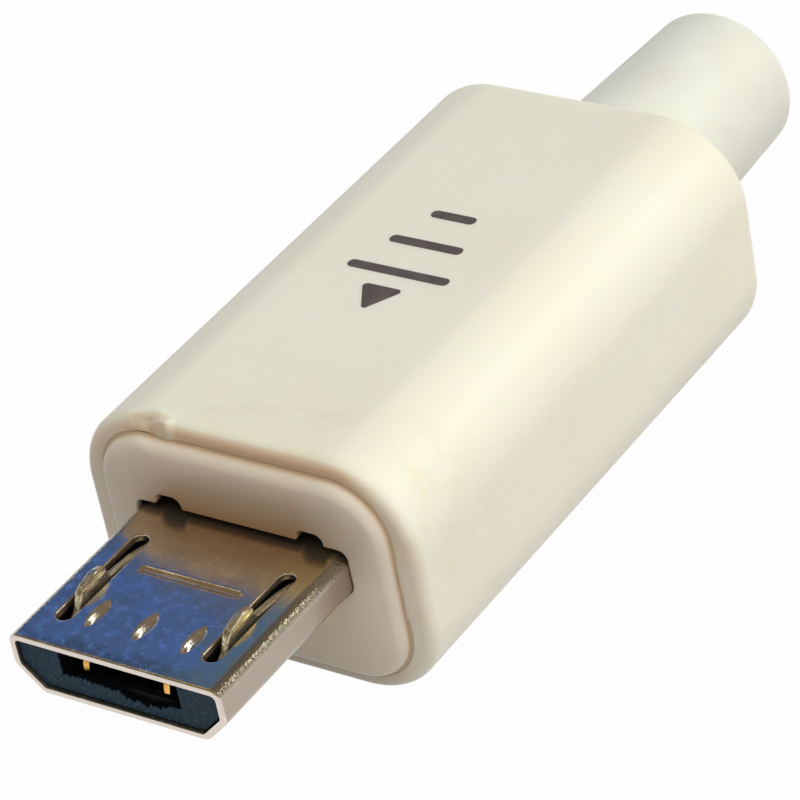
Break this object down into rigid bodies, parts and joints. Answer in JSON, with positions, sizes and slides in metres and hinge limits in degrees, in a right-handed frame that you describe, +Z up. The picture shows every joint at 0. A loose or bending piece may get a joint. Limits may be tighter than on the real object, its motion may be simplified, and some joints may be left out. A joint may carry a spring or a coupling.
{
  "type": "micro-B cable plug",
  "caption": "Solder-on micro-B cable plug: folded metal nose with two sprung latch hooks, rounded ivory cover and tapered cable tube.",
  "frame": {"origin": "centre of the plug's bounding box in X and Y, on the surface that the cover's flat underside rests on", "axes": "+X across the plug, +Y from the plug's tip towards the cable tube, +Z up with the latch hooks on top"},
  "size_m": [0.0108, 0.0318, 0.0075],
  "materials": {
    "cover_plastic": "glossy moulded ivory ABS",
    "relief_plastic": "soft satin white PVC",
    "shell_metal": "nickel-plated folded sheet, satin",
    "latch_metal": "stamped spring steel, bright",
    "contact_metal": "gold-plated strip",
    "insulator_plastic": "matt black moulded insulator"
  },
  "bodies": {
    "plug_body": {"outer_cover": "cover_plastic", "strain_relief": "relief_plastic", "front_insert": "cover_plastic", "plug_shell": "shell_metal", "insulator": "insulator_plastic", "contact_1": "contact_metal", "contact_2": "contact_metal", "contact_3": "contact_metal", "contact_4": "contact_metal", "contact_5": "contact_metal"},
    "left_latch": {"latch_left": "latch_metal"},
    "right_latch": {"latch_right": "latch_metal"}
  },
  "joints": [
    {"name": "left_latch_press", "type": "hinge", "parent": "plug_body", "child": "left_latch", "pos_m": [-0.00238, -0.00628, 0.00385], "axis": [1, 0, 0], "range_deg": [0, 3.5], "stiffness_Nm_per_rad": 0.1},
    {"name": "right_latch_press", "type": "hinge", "parent": "plug_body", "child": "right_latch", "pos_m": [0.00238, -0.00628, 0.00385], "axis": [1, 0, 0], "range_deg": [0, 3.5], "stiffness_Nm_per_rad": 0.1}
  ]
}
